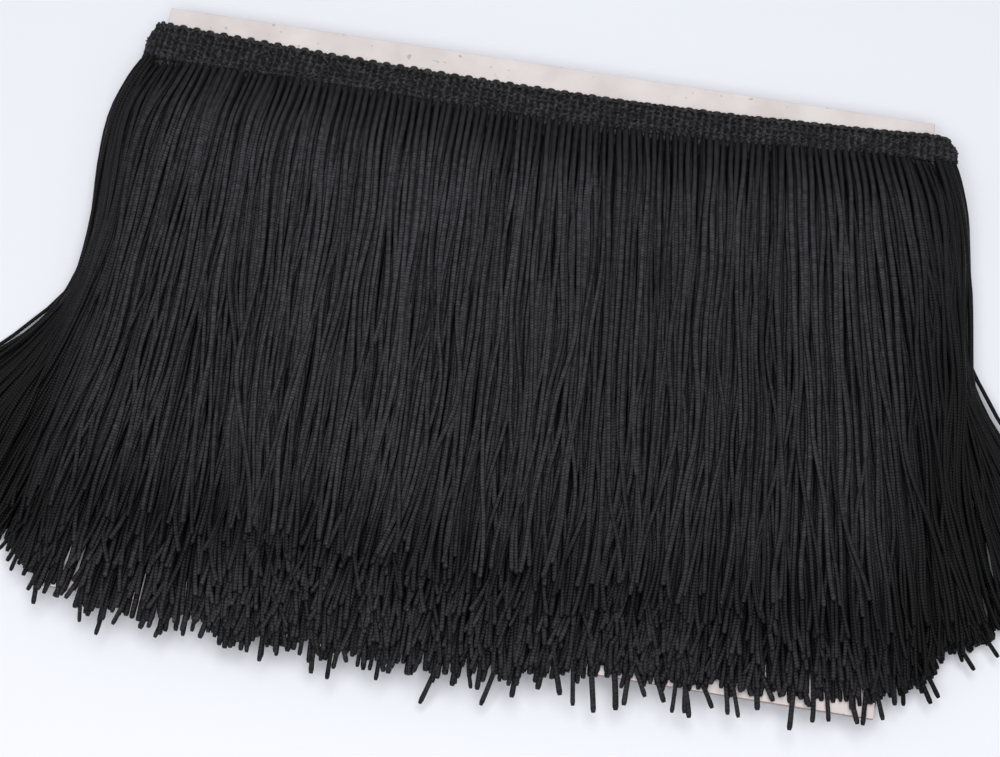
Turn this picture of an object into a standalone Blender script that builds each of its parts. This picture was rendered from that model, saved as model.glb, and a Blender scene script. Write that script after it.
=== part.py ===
"""Chainette fringe trim wound round a flat card, lying face up on a table.

Millimetre sizes are named below and turned into metres where a mesh is made.  While the
shapes are worked out, x runs along the card from its middle, y runs up the card from its
bottom edge and z runs up from the table.  At the end everything is moved so that the
origin is the bottom centre of the whole box.
"""
import math
import random

import bpy

MM = 0.001
SEED = 11
GAP = 0.3

# the flat card that the trim is wound on
CARD_W = 240.0
CARD_H = 190.0
CARD_T = 1.6
CARD_Z = 8.3
CARD_ROUND = 0.3

# the trim: a woven heading with strands hanging from it
STRAND_L = 149.0

# the strands lie on the card in a pile as thick as all the turns
PILE_T = 9.0
PILE_RISE = 22.0
ROOT_TUCK = 1.1
EDGE_Z = 8.0
SHOULDER_X = 104.0
FAN_TOP_Y = 104.0
FAN_LOW_Y = 62.0
FAN_EDGE_Z = 2.4
FAN_SLOPE = 1.25
UNDER_TUCK = 3.0
TUCK_FROM = 16.0
THICK_ENOUGH = 8.0

# locks of strands, each one ridge and one groove of the comb
LOCKS = 45
LOCK_DEPTH_ROOT = 0.6
LOCK_DEPTH_TIP = 1.8
NOTCH = 7.0
END_SPREAD = 2.6
THIN_SHARE = 0.35
LOCK_WANDER = 1.6
WANDER_TURN = 0.47
RIPPLE_TURN = 1.13
RIPPLE_SHARE = 0.4
PLAIN_END = 3
STEP_DROP = 2.2
HEM_Z = 11.4
FAN_HEM_Z = 1.4
HEM_SLOPE_IN = -1.0
HEM_SLOPE_OUT = 22.0
HEM_FLARE = 1.5
SIDE_ROUND = 1.2
UNDER_LIFT = 5.0
UNDER_GROOVE = 0.8
UNDER_EVERY = 4

# height along the heading band: x, y of its top edge, y of its bottom edge,
# z of its top edge, z of its bottom edge
HEAD_COLUMNS = ("x", "y_top", "y_low", "z_top", "z_low")
HEAD_ROWS = (
    (-119.0, 183.6, 169.9, 11.6, 15.0),
    (-100.0, 182.7, 169.9, 11.6, 14.6),
    (-60.0, 181.4, 170.2, 11.6, 14.4),
    (-20.0, 181.0, 169.8, 11.6, 14.4),
    (20.0, 181.2, 169.8, 11.6, 14.6),
    (60.0, 182.2, 171.2, 11.6, 15.6),
    (100.0, 184.2, 174.2, 11.6, 16.8),
    (119.0, 185.6, 175.0, 11.6, 16.2),
)
# it lies the same way behind the card, and reaches this far past the card's side edges
FOLD_LEFT = 4.6
FOLD_RIGHT = 7.4
FOLD_TOP = 0.6
FOLD_TIGHT = 0.98
FOLD_STEPS = 6

# lean of a lock, in degrees to the right of straight down, at these lengths from its root
LEAN_AT = (0.0, 25.0, 50.0, 75.0, 100.0, 149.0)
# root x, then the lean at each length, then how far past the outer turn's ends the inner
# turns' ends reach (to the right, downwards)
GUIDES = (
    (-124.4, (-34.0, 1.0, 7.0, -14.0, -50.0, -46.0), (0.0, 4.0)),
    (-116.0, (-16.0, -4.0, 0.0, -10.0, -32.0, -38.0), (3.0, 10.0)),
    (-104.0, (-5.0, -4.0, -3.0, -6.0, -16.0, -24.0), (3.0, 22.0)),
    (-90.0, (-2.0, -2.0, -2.0, -3.0, -7.0, -12.0), (2.0, 28.0)),
    (-70.0, (0.0, 0.0, 0.0, 1.0, 0.0, -3.0), (0.0, 29.0)),
    (-40.0, (0.0, 1.0, 2.0, 3.0, 3.0, 2.0), (0.0, 28.0)),
    (0.0, (0.0, 2.0, 3.0, 3.0, 3.0, 3.0), (0.0, 26.0)),
    (40.0, (0.0, 2.0, 4.0, 4.0, 3.0, 3.0), (0.0, 25.0)),
    (75.0, (1.0, 3.0, 4.0, 4.0, 5.0, 6.0), (0.0, 26.0)),
    (92.0, (2.0, 4.0, 5.0, 6.0, 10.0, 14.0), (0.0, 25.0)),
    (104.0, (4.0, 6.0, 7.0, 10.0, 20.0, 30.0), (0.0, 16.0)),
    (114.0, (14.0, 8.0, 6.0, 14.0, 30.0, 38.0), (0.0, 9.0)),
    (126.8, (32.0, 4.0, 1.0, 28.0, 44.0, 42.0), (0.0, 4.0)),
)

# rows of the comb from root to tip of the outer turn, and on to the inner turns' ends
ROWS = (0.0, 4.0, 9.0, 15.0, 22.0, 34.0, 50.0, 66.0, 82.0, 98.0, 114.0, 130.0, 142.0, 149.0)
PAST_TIP = (0.06, 0.36, 0.7, 1.0)
WALL_STEPS = 3
WALK_STEP = 1.0
LEAST_STEP = 1e-9
EDGE_STEP = 3


def smooth(low, high, value):
    """0 below low, 1 above high, eased between."""
    t = min(1.0, max(0.0, (value - low) / (high - low)))
    return t * t * (3.0 - 2.0 * t)


def between(keys, values, at):
    """Straight-line interpolation of values over rising keys."""
    if at <= keys[0]:
        return values[0]
    for i in range(1, len(keys)):
        if at <= keys[i]:
            t = (at - keys[i - 1]) / (keys[i] - keys[i - 1])
            return values[i - 1] + t * (values[i] - values[i - 1])
    return values[-1]


def head(column, x):
    """One named column of the heading's table, at x."""
    at = HEAD_COLUMNS.index(column)
    return between([row[0] for row in HEAD_ROWS], [row[at] for row in HEAD_ROWS], x)


# ---------------------------------------------------------------- plan of the locks


def lean_of(root_x, length):
    """Lean of the lock rooted at root_x, this far along it, in radians."""
    leans = [between(LEAN_AT, guide[1], length) for guide in GUIDES]
    return math.radians(between([guide[0] for guide in GUIDES], leans, root_x))


def past_of(root_x):
    """How far the inner turns' ends reach past the outer turn's, as (right, down)."""
    roots = [guide[0] for guide in GUIDES]
    right = between(roots, [guide[2][0] for guide in GUIDES], root_x)
    down = between(roots, [guide[2][1] for guide in GUIDES], root_x)
    return right, down


def walk(root_x, lengths):
    """Plan points (x, y) at the given lengths along the lock rooted at root_x."""
    x = root_x
    y = head("y_low", root_x) - GAP
    done = 0.0
    points = []
    for length in lengths:
        while done < length - LEAST_STEP:
            step = min(WALK_STEP, length - done)
            lean = lean_of(root_x, done + step / 2)
            x += step * math.sin(lean)
            y -= step * math.cos(lean)
            done += step
        points.append((x, y))
    return points


class Edge:
    """The outline of one side of the pile: its reach in x at each y."""

    def __init__(self, root_x):
        path = walk(root_x, [float(s) for s in range(0, int(STRAND_L) + 1, EDGE_STEP)])
        path.reverse()
        self.ys = [y for _, y in path]
        self.xs = [abs(x) for x, _ in path]

    def reach(self, y):
        return between(self.ys, self.xs, y)


LEFT = Edge(GUIDES[0][0])
RIGHT = Edge(GUIDES[-1][0])


def stack(x, y):
    """Height of the pile's top over the table at (x, y), before locks and ends."""
    root_y = head("y_low", x)
    rise = smooth(root_y + GAP, root_y - PILE_RISE, y)
    start = head("z_low", x) - ROOT_TUCK
    full = CARD_Z + CARD_T + GAP + PILE_T
    over_card = start + rise * (full - start)
    reach = (LEFT if x < 0 else RIGHT).reach(y)
    part = min(1.0, max(0.0, (abs(x) - SHOULDER_X) / max(1.0, reach - SHOULDER_X)))
    fan = smooth(FAN_TOP_Y, FAN_LOW_Y, y)
    low = EDGE_Z + fan * (FAN_EDGE_Z - EDGE_Z)
    steep = math.sqrt(1.0 - part * part)
    slope = (1.0 - part) ** FAN_SLOPE
    fall = steep + fan * (slope - steep)
    return low + (over_card - low) * fall


# ---------------------------------------------------------------- building helpers


def material(name, colour, roughness):
    made = bpy.data.materials.new(name)
    made.use_nodes = True
    shader = made.node_tree.nodes["Principled BSDF"]
    shader.inputs["Base Color"].default_value = (*colour, 1.0)
    shader.inputs["Roughness"].default_value = roughness
    return made


def mesh_object(name, points, faces, look, shelf):
    """One object from points in millimetres."""
    mesh = bpy.data.meshes.new(name)
    mesh.from_pydata([(x * MM, y * MM, z * MM) for x, y, z in points], [], faces)
    mesh.materials.append(look)
    made = bpy.data.objects.new(name, mesh)
    shelf.objects.link(made)
    return made


def box_object(name, centre, size, look, shelf):
    """A box primitive, sized and placed in millimetres."""
    bpy.ops.mesh.primitive_cube_add(size=1.0)
    made = bpy.context.active_object
    made.name = name
    made.data.name = name
    for held in list(made.users_collection):
        held.objects.unlink(made)
    shelf.objects.link(made)
    made.scale = [v * MM for v in size]
    made.location = [v * MM for v in centre]
    bpy.context.view_layer.update()
    bpy.ops.object.transform_apply(location=True, rotation=False, scale=True)
    if look:
        made.data.materials.append(look)
    return made


# ---------------------------------------------------------------- fringe


def comb_columns():
    """The comb's columns from left to right: (root x, 1 for a ridge or 0 for a groove,
    change of length, sideways wander)."""
    chance = random.Random(SEED)
    count = 2 * LOCKS
    left = GUIDES[0][0]
    right = GUIDES[-1][0]
    columns = []
    for i in range(count + 1):
        ridge = i % 2
        root_x = left + (right - left) * i / count
        inner = smooth(0, PLAIN_END, i) * smooth(0, PLAIN_END, count - i)
        length = chance.uniform(-END_SPREAD, END_SPREAD) * inner
        wander = math.sin(i * WANDER_TURN) + RIPPLE_SHARE * math.sin(i * RIPPLE_TURN)
        wander *= LOCK_WANDER * inner
        columns.append((root_x, ridge, length - (0 if ridge else NOTCH * inner), wander))
    return columns


def comb_top(column):
    """The upper surface along one column, root to hem, as (x, y, z) points."""
    root_x, ridge, change, wander = column
    total = STRAND_L + change
    lengths = [s * total / STRAND_L for s in ROWS]
    plan = walk(root_x, lengths)
    points = []
    for s, (x, y) in zip(ROWS, plan):
        along = s / STRAND_L
        depth = LOCK_DEPTH_ROOT + (LOCK_DEPTH_TIP - LOCK_DEPTH_ROOT) * along
        z = stack(x, y)
        z -= 0.0 if ridge else min(depth, THIN_SHARE * z)
        points.append((x + wander * along * along, y, z))
    tip_x, tip_y, tip_z = points[-1]
    right, down = past_of(root_x)
    on_card = 1.0 - smooth(CARD_W / 2 - HEM_SLOPE_IN, CARD_W / 2 + HEM_SLOPE_OUT, abs(tip_x))
    low_z = min(FAN_HEM_Z + on_card * (HEM_Z - FAN_HEM_Z), tip_z * (1.0 - THIN_SHARE))
    drop = min(STEP_DROP, (tip_z - low_z) * THIN_SHARE)
    for part in PAST_TIP:
        z = tip_z - drop + (low_z - tip_z + drop) * part
        points.append((tip_x + right * part, tip_y - down * part, z))
    return points


def comb_under(top, index):
    """The underside of one column: the same plan, lying on the table past the rise."""
    points = []
    for x, y, z in top:
        root_y = head("y_low", x)
        lift = smooth(root_y - PILE_RISE, root_y + GAP, y) * UNDER_LIFT
        thin = min(1.0, z / THICK_ENOUGH)
        groove = UNDER_GROOVE * thin if index % UNDER_EVERY == 0 else 0.0
        reach = (LEFT if x < 0 else RIGHT).reach(y)
        near_side = smooth(reach - TUCK_FROM, reach, abs(x))
        tuck = math.copysign(UNDER_TUCK * near_side * thin * thin, x)
        points.append((x - tuck, y, max(lift, groove)))
    return points


def build_fringe(look, shelf):
    columns = comb_columns()
    tops = [comb_top(column) for column in columns]
    unders = [comb_under(top, i) for i, top in enumerate(tops)]
    across = len(columns)
    along = len(tops[0])
    points = []
    for sheet in (tops, unders):
        for line in sheet:
            points.extend(line)

    def top_at(i, j):
        return i * along + j

    def under_at(i, j):
        return across * along + i * along + j

    rim = [(i, 0) for i in range(across)]
    rim += [(across - 1, j) for j in range(1, along)]
    rim += [(i, along - 1) for i in range(across - 2, -1, -1)]
    rim += [(0, j) for j in range(along - 2, 0, -1)]
    walls = []
    for i, j in rim:
        high = points[top_at(i, j)]
        low = points[under_at(i, j)]
        ladder = [top_at(i, j)]
        for k in range(1, WALL_STEPS):
            t = k / WALL_STEPS
            swell = math.sin(math.pi * t) * min(1.0, high[2] / THICK_ENOUGH)
            down = swell * (HEM_FLARE if j == along - 1 else 0.0)
            out = math.copysign(swell * (SIDE_ROUND if i in (0, across - 1) else 0.0), high[0])
            x = high[0] + t * (low[0] - high[0]) + out
            y = high[1] + t * (low[1] - high[1]) - down
            z = high[2] + t * (low[2] - high[2])
            ladder.append(len(points))
            points.append((x, y, z))
        ladder.append(under_at(i, j))
        walls.append(ladder)

    faces = []
    for i in range(across - 1):
        for j in range(along - 1):
            a, b = top_at(i, j), top_at(i + 1, j)
            c, d = top_at(i + 1, j + 1), top_at(i, j + 1)
            faces.append((a, d, c, b))
            a, b = under_at(i, j), under_at(i + 1, j)
            c, d = under_at(i + 1, j + 1), under_at(i, j + 1)
            faces.append((a, b, c, d))
    for here, there in zip(walls, walls[1:] + walls[:1]):
        for k in range(WALL_STEPS):
            faces.append((here[k], there[k], there[k + 1], here[k + 1]))
    return mesh_object("fringe", points, faces, look, shelf)


# ---------------------------------------------------------------- heading


def heading_sections():
    """The band's cross-sections in order round the card, each four (x, y, z) corners:
    inner top, inner bottom, outer bottom, outer top."""
    middle = CARD_Z + CARD_T / 2
    inside = CARD_T / 2 + GAP
    half = CARD_W / 2 + GAP

    def across(rows, side):
        made = []
        for x, y_top, y_low, z_top, z_low in rows:
            near = middle + side * inside
            low = middle + side * (z_low - middle)
            top = middle + side * (z_top - middle)
            made.append([(x, y_top, near), (x, y_low, near), (x, y_low, low), (x, y_top, top)])
        return made

    def fold(side, reach, row):
        made = []
        _, y_top, y_low, z_top, z_low = row
        for k in range(FOLD_STEPS):
            turn = math.pi * (k + 0.5) / FOLD_STEPS
            out = math.sin(turn)
            up = math.cos(turn) * side
            near_x = side * half
            low_x = side * (half + (reach - GAP) * out)
            top_x = side * (half + (reach - GAP) * FOLD_TOP * out)
            near_z = middle + up * inside * FOLD_TIGHT
            low_z = middle + up * (z_low - middle)
            top_z = middle + up * (z_top - middle)
            made.append(
                [
                    (near_x, y_top, near_z),
                    (near_x, y_low, near_z),
                    (low_x, y_low, low_z),
                    (top_x, y_top, top_z),
                ]
            )
        return made

    sections = across(HEAD_ROWS, 1)
    sections += fold(1, FOLD_RIGHT, HEAD_ROWS[-1])
    sections += across(HEAD_ROWS[::-1], -1)
    sections += fold(-1, FOLD_LEFT, HEAD_ROWS[0])
    return sections


def build_heading(look, shelf):
    sections = heading_sections()
    count = len(sections[0])
    points = [point for section in sections for point in section]
    faces = []
    for i in range(len(sections)):
        here = i * count
        there = (i + 1) % len(sections) * count
        for k in range(count):
            after = (k + 1) % count
            faces.append((here + k, there + k, there + after, here + after))
    return mesh_object("heading", points, faces, look, shelf)


# ---------------------------------------------------------------- the whole


def build():
    for old in list(bpy.data.objects):
        bpy.data.objects.remove(old, do_unlink=True)
    scene = bpy.context.scene
    shelf = bpy.data.collections.new("tassel_fringe_on_card")
    scene.collection.children.link(shelf)
    cutters = bpy.data.collections.new("cutters")
    scene.collection.children.link(cutters)
    cutters.hide_render = True

    board = material("card_board", (0.72, 0.66, 0.61), 0.85)
    band = material("heading_yarn", (0.022, 0.021, 0.023), 0.6)
    yarn = material("fringe_yarn", (0.018, 0.017, 0.02), 0.5)

    card_centre = (0.0, CARD_H / 2, CARD_Z + CARD_T / 2)
    card = box_object("card", card_centre, (CARD_W, CARD_H, CARD_T), board, shelf)
    rounding = card.modifiers.new("worn_edges", "BEVEL")
    rounding.width = CARD_ROUND * MM
    rounding.segments = 2

    heading = build_heading(band, shelf)
    fringe = build_fringe(yarn, shelf)

    slot_size = (CARD_W + 2 * GAP, 2 * CARD_H, CARD_T + 2 * GAP)
    slot = box_object("card_slot", card_centre, slot_size, None, cutters)
    slot.hide_render = True
    slot.display_type = "WIRE"
    cut = fringe.modifiers.new("card_slot", "BOOLEAN")
    cut.operation = "DIFFERENCE"
    cut.solver = "EXACT"
    cut.object = slot

    corners = [v.co for made in (card, heading, fringe) for v in made.data.vertices]
    middle_x = (min(c.x for c in corners) + max(c.x for c in corners)) / 2
    middle_y = (min(c.y for c in corners) + max(c.y for c in corners)) / 2
    for made in (card, heading, fringe, slot):
        for vertex in made.data.vertices:
            vertex.co.x -= middle_x
            vertex.co.y -= middle_y


build()
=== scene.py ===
"""Looks of the tassel fringe trim on its card.

Everything but the table and the lights is worked out in millimetres, in the card's own
plan: x runs along the card from its middle, y runs up the card from its bottom edge and z
runs up from the table.  place() turns such points into the frame's metres.
"""

import math

import bpy
import numpy as np
from mathutils import Matrix, Vector


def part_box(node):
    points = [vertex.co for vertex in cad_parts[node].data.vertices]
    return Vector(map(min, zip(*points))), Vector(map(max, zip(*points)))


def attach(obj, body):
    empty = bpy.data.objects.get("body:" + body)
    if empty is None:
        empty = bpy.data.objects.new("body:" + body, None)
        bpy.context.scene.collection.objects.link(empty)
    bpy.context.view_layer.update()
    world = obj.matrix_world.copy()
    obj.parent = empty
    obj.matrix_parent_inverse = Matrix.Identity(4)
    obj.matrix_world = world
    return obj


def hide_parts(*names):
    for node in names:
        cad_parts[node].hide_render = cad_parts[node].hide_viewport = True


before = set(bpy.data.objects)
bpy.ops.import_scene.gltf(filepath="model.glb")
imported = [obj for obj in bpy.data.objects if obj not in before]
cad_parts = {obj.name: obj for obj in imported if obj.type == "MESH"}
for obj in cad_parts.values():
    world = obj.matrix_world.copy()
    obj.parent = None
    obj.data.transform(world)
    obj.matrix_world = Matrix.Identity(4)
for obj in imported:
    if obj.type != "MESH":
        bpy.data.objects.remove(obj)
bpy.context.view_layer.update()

MM = 0.001
card_low, card_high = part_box("card")
CARD_MIDDLE_X = (card_low.x + card_high.x) / 2
CARD_BOTTOM_Y = card_low.y

# ------------ sizes, in millimetres

CARD_W = 240.0
CARD_UNDER = 8.3
CARD_TOP = 9.9
CARD_MIDDLE = (CARD_UNDER + CARD_TOP) / 2
GAP = 0.3

# the trim: a heading band with strands hanging from it, wound round the card; each turn
# lies a little higher up the card than the last, and about HEAD_LAYERS of their bands lie
# on each other at the outer one's lower edge
TURNS = 12
OUTER = TURNS - 1
CLIMB = 28.0
CLIMB_POWER = 2.0
HEAD_W = 12.0
HEAD_LAYERS = 5.0
STRAND_L = 149.0
STRAND_PITCH = 2.15
STRAND_W = 1.78
STRAND_T = 1.1

# the pile of strands, as in the solid that they stand for: from PILE_FROM to PILE_RISE
# below the heading a layer goes from its thickness there to LAYER_T
PILE_T = 9.0
LAYER_T = PILE_T / TURNS
PILE_FROM = 3.0
PILE_RISE = 22.0
EDGE_Z = 8.0
SHOULDER_X = 104.0
LEAST_SIDE = 1.0
FAN_TOP_Y = 104.0
FAN_LOW_Y = 62.0
FAN_EDGE_Z = 2.4
FAN_SLOPE = 1.25
FOLD_X = 119.0
FOLD_REACH = {-1: 4.6, 1: 7.4}

# past its side edges strands leave the card's height between these distances
LEAVE_FROM = 1.0
LEAVE_BY = 10.0

# a turn's layer fades out this far either way of its band's top edge, where that lies
# under the outer turn's band and where it lies lower
FADE_AT_BAND = 1.4
FADE_AT_STRANDS = 7.0

# least height of a strand's middle and of its surface, and how far strands sink as they
# reach the heading
LEAST_Z = 0.62
LEAST_SURFACE_Z = 0.06
SINK_AT_ROOT = 0.15
SINK_LENGTH = 5.0

# height and tilt of the heading along the card
HEAD_COLUMNS = ("x", "y_top", "y_low", "z_low")
HEAD_ROWS = np.array((
    (-119.0, 183.6, 169.9, 15.0), (-100.0, 182.7, 169.9, 14.6),
    (-60.0, 181.4, 170.2, 14.4), (-20.0, 181.0, 169.8, 14.4),
    (20.0, 181.2, 169.8, 14.6), (60.0, 182.2, 171.2, 15.6),
    (100.0, 184.2, 174.2, 16.8), (119.0, 185.6, 175.0, 16.2),
))

# each guide's root x and its lean at LEAN_AT along it, in degrees to the right of straight
# down, which is averaged over LEAN_BLUR either way
LEAN_AT = np.array((0.0, 25.0, 50.0, 75.0, 100.0, 149.0))
LEAN_BLUR = 10.0
GUIDES = (
    (-124.4, (-36, 3, 8, -12, -50, -46)),
    (-120, (-24, 0, 6, -6, -18, -14)),
    (-112, (-15, -5, -1, -4, -10, -10)),
    (-102, (-9, -3, 0, -1, -5, -8)),
    (-90, (-7, 0, 3, 3, 2, -1)),
    (-80, (-5, 1, 4, 6, 7, 4)),
    (-70, (-3, 2, 4, 5, 3, 3)),
    (-60, (0, 3, 2, 1, 3, 2)),
    (-40, (1, 4, 5, 2, 0, 1)),
    (-20, (0, 4, 3, 2, 0, 0)),
    (0, (3, 2, 4, 5, 4, 0)),
    (20, (4, 6, 6, 6, 3, 2)),
    (40, (7, 5, 6, 6, 5, 0)),
    (60, (3, 3, 4, 4, 3, -1)),
    (75, (6, 5, 7, 7, 4, 5)),
    (90, (8, 8, 9, 9, 9, 10)),
    (104, (14, 13, 13, 12, 13, 14)),
    (114, (22, 13, 10, 9, 10, 18)),
    (119, (26, 11, 6, 5, 9, 22)),
    (126.8, (30, 4, 0, 30, 44, 42)),
)
GUIDE_ROOTS = np.array([guide[0] for guide in GUIDES])
GUIDE_LEANS = np.array([guide[1] for guide in GUIDES])

# the lowest y that strands reach, by x
HEM = np.array((
    (-200, 64), (-186, 50), (-165, 36), (-150, 25), (-140, 19), (-133, 14), (-126, 9),
    (-121, 0.5), (-112, -2), (-104, -6), (-95, -30), (12, -30), (22, -4), (36, 1),
    (54, 1.4), (75, 2.4), (100, 3.2), (113, 3.6), (118, 5.5), (122, 8.5), (126, 9.5),
    (134, 14), (138, 25), (150, 31), (165, 42), (186, 56), (200, 66),
))
UP = np.array((0.0, 0.0, 1.0))
TINY = 1e-6

# cells along a side of a random field, and the part of it that strands' places come from
FIELD_CELLS = 97
FIELD_SPAN = 90.0


# ------------ small helpers


def smooth(low, high, value):
    """0 below low, 1 above high, eased between; high may be the lower of the two."""
    t = np.clip((value - low) / (high - low), 0.0, 1.0)
    return t * t * (3.0 - 2.0 * t)


def mix(a, b, t):
    return a + (b - a) * t


def head(column, x):
    """One named column of the heading's table, at x."""
    return np.interp(x, HEAD_ROWS[:, 0], HEAD_ROWS[:, HEAD_COLUMNS.index(column)])


def field(seed, a, b):
    """A smooth random field over the plane (a, b), from -1 to 1, with cells one unit wide."""
    cells = FIELD_CELLS
    grid = np.random.default_rng(seed).uniform(-1.0, 1.0, (cells, cells))
    a, b = np.broadcast_arrays(np.asarray(a, float), np.asarray(b, float))
    ia, ib = np.floor(a).astype(int), np.floor(b).astype(int)
    ta, tb = a - ia, b - ib
    ta, tb = ta * ta * (3 - 2 * ta), tb * tb * (3 - 2 * tb)
    ia, ib, ja, jb = ia % cells, ib % cells, (ia + 1) % cells, (ib + 1) % cells
    return mix(mix(grid[ia, ib], grid[ja, ib], ta), mix(grid[ia, jb], grid[ja, jb], ta), tb)


def place(points):
    """Points in millimetres in the card's plan, as metres in the frame."""
    shift = np.array((CARD_MIDDLE_X, CARD_BOTTOM_Y, 0.0))
    return points * MM + shift


def new_piece(name, points, faces, uvs, material, rounded=None):
    """A mesh object from points in mm, a list of face arrays (each with its own number of
    corners), and for each the UV coordinates of its corners by UV map name."""
    mesh = bpy.data.meshes.new(name)
    flat = place(points).astype(np.float32)
    mesh.vertices.add(len(flat))
    mesh.vertices.foreach_set("co", flat.ravel())
    totals = np.concatenate([np.full(len(f), f.shape[1], np.int32) for f in faces])
    corners = np.concatenate([f.ravel() for f in faces]).astype(np.int32)
    mesh.loops.add(len(corners))
    mesh.loops.foreach_set("vertex_index", corners)
    mesh.polygons.add(len(totals))
    starts = np.concatenate([[0], np.cumsum(totals)[:-1]]).astype(np.int32)
    mesh.polygons.foreach_set("loop_start", starts)
    everywhere = np.ones(len(totals), bool)
    mesh.polygons.foreach_set("use_smooth", everywhere if rounded is None else rounded)
    mesh.update(calc_edges=True)
    for map_name, values in uvs.items():
        layer = mesh.uv_layers.new(name=map_name)
        packed = np.concatenate([v.reshape(-1, 2) for v in values]).astype(np.float32)
        layer.data.foreach_set("uv", packed.ravel())
    mesh.materials.append(material)
    mesh.validate()
    made = bpy.data.objects.new(name, mesh)
    bpy.context.scene.collection.objects.link(made)
    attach(made, "root")
    return made


# ------------ the pile's shape


def lean_of(root_x, length):
    """Lean in radians of the strands with these roots, at these lengths (one row each)."""
    by_root = [np.interp(root_x, GUIDE_ROOTS, column) for column in GUIDE_LEANS.T]
    lean = np.zeros(length.shape)
    for knot, values in zip(np.eye(len(LEAN_AT)), by_root):
        places = (length - LEAN_BLUR, length, length + LEAN_BLUR)
        shares = [np.interp(place_on, LEAN_AT, knot) for place_on in places]
        lean += values[:, None] * np.mean(shares, axis=0)
    return np.radians(lean)


def edge_of(root_x):
    """The silhouette's reach in x, as (y, reach) rows with y rising, in steps of 1 mm
    along the outermost strand."""
    length = np.arange(0.0, STRAND_L + 1.0)[None, :]
    lean = lean_of(np.array([root_x]), length + 0.5)[0]
    x = root_x + np.concatenate([[0.0], np.cumsum(np.sin(lean))[:-1]])
    y = head("y_low", root_x) - GAP - np.concatenate([[0.0], np.cumsum(np.cos(lean))[:-1]])
    return y[::-1], np.abs(x[::-1])


LEFT_EDGE = edge_of(GUIDE_ROOTS[0])
RIGHT_EDGE = edge_of(GUIDE_ROOTS[-1])


def side_part(x, y):
    """0 on the flat of the pile, 1 at its side silhouette."""
    reach = np.where(x < 0, np.interp(y, *LEFT_EDGE), np.interp(y, *RIGHT_EDGE))
    side = np.maximum(LEAST_SIDE, reach - SHOULDER_X)
    return np.clip((np.abs(x) - SHOULDER_X) / side, 0.0, 1.0)


def drop(turn):
    """How far a turn lies down the card from the outer turn: the first turns lie close."""
    return CLIMB * (1.0 - (turn / OUTER) ** CLIMB_POWER)


def layers_below(turn, down):
    """How many turns lie under this turn (a float), where down is the height up the card
    over the outer turn's lower edge."""
    count = np.zeros(np.broadcast(turn, down).shape)
    for j in range(TURNS):
        top = HEAD_W - drop(j)
        fade = FADE_AT_BAND if top > 0 else FADE_AT_STRANDS
        count += (1.0 - smooth(top - fade, top + fade, down)) * np.clip(turn - j, 0.0, 1.0)
    return count


def layer_unit(x, down):
    """Thickness of one layer: swollen near the heading where the band is thick."""
    at_head = (head("z_low", x) - CARD_TOP - GAP) / HEAD_LAYERS
    return mix(at_head, LAYER_T, smooth(-PILE_FROM, -PILE_RISE, down))


def pile_top(x, y):
    """Height of the pile's top over the table."""
    down = y - head("y_low", x)
    over_card = CARD_TOP + GAP + layers_below(float(TURNS), down) * layer_unit(x, down)
    part = side_part(x, y)
    fan = smooth(FAN_TOP_Y, FAN_LOW_Y, y)
    low = mix(EDGE_Z, FAN_EDGE_Z, fan)
    fall = mix(np.sqrt(1.0 - part * part), (1.0 - part) ** FAN_SLOPE, fan)
    return mix(low, over_card, fall)


def past_card(x):
    """0 over the card, 1 well past its side edges."""
    return smooth(CARD_W / 2 + LEAVE_FROM, CARD_W / 2 + LEAVE_BY, np.abs(x))


def pile_middle(x, y, side):
    """Height that the front (side 1) or back (side -1) strands are piled on: the card,
    and past its edges the middle of the pile."""
    card = CARD_TOP + GAP if side > 0 else CARD_UNDER - GAP
    return mix(card, 0.5 * pile_top(x, y), past_card(x))


def strand_height(turn, side, x, y):
    """Height of a strand's middle: front strands stack up, back strands stack down."""
    down = y - head("y_low", x)
    every = np.maximum(layers_below(float(TURNS), down), 1.0)
    below = layers_below(turn, down)
    share = (below + 0.5) / np.maximum(every, below + 1.0)
    tucked = SINK_AT_ROOT * smooth(-SINK_LENGTH, 0.0, down)
    base = pile_middle(x, y, side)
    if side > 0:
        return mix(base, pile_top(x, y), share) - tucked
    thick = np.minimum(every * layer_unit(x, down), CARD_UNDER - GAP)
    floor = mix(CARD_UNDER - GAP - thick, 0.0, past_card(x))
    return np.maximum(mix(base, floor, share) + tucked, LEAST_Z)


# ------------ the strands' lie

# A name that ends in OVER holds two lengths from a strand's root, between which something
# grows from none to full.

# locks: groups of neighbouring strands that draw together and stand up along their middle
LOCK_WIDTHS = (4.0, 9.5)
MOST_LOCKS = 90
LOCK_MARGIN = 1.0
CLUMP_OVER = (12.0, 120.0)
CROWN_OVER = (20.0, 120.0)

# how far up under the outer turn's band strands start, how far along they are from where
# they read their guide's lean, at random, and their wander at the silhouette's guides
ROOT_TUCK = 1.0
EARLY = 5.0
CALM = 0.3
CALM_AT = (115.0, 123.0)

# waves in their lie, with their size across the strands (in mm or locks) and along them
BROAD_ACROSS = 21.0
BROAD_ALONG = 52.0
BROAD_START = 9.0
CLOSE_ACROSS = 4.5
CLOSE_ALONG = 34.0
LOCK_ACROSS = 1.37
LOCK_ALONG = 44.0
ALONE_ALONG = 24.0
RIPPLE_ALONG = 30.0
FIRST_OVER = (0.0, 35.0)
REST_OVER = (30.0, STRAND_L)
FREE_OVER = (0.0, 40.0)

# rogues: strands that turn aside on their way down and cross the others
ROGUE_LEANS = (2.5, 7.0)
ROGUE_FROM = (45.0, 105.0)
ROGUE_BEND = 18.0
ROGUE_LIFT = 0.8
ROGUE_LIFT_OVER = (40.0, 80.0)

# length over which a tip takes its own lean, how uneven the hem is, and the root x from
# which strands may splay
TIP_LENGTH = 22.0
HEM_UNEVEN = 1.6
SPLAY_FROM = 110.0


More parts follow.
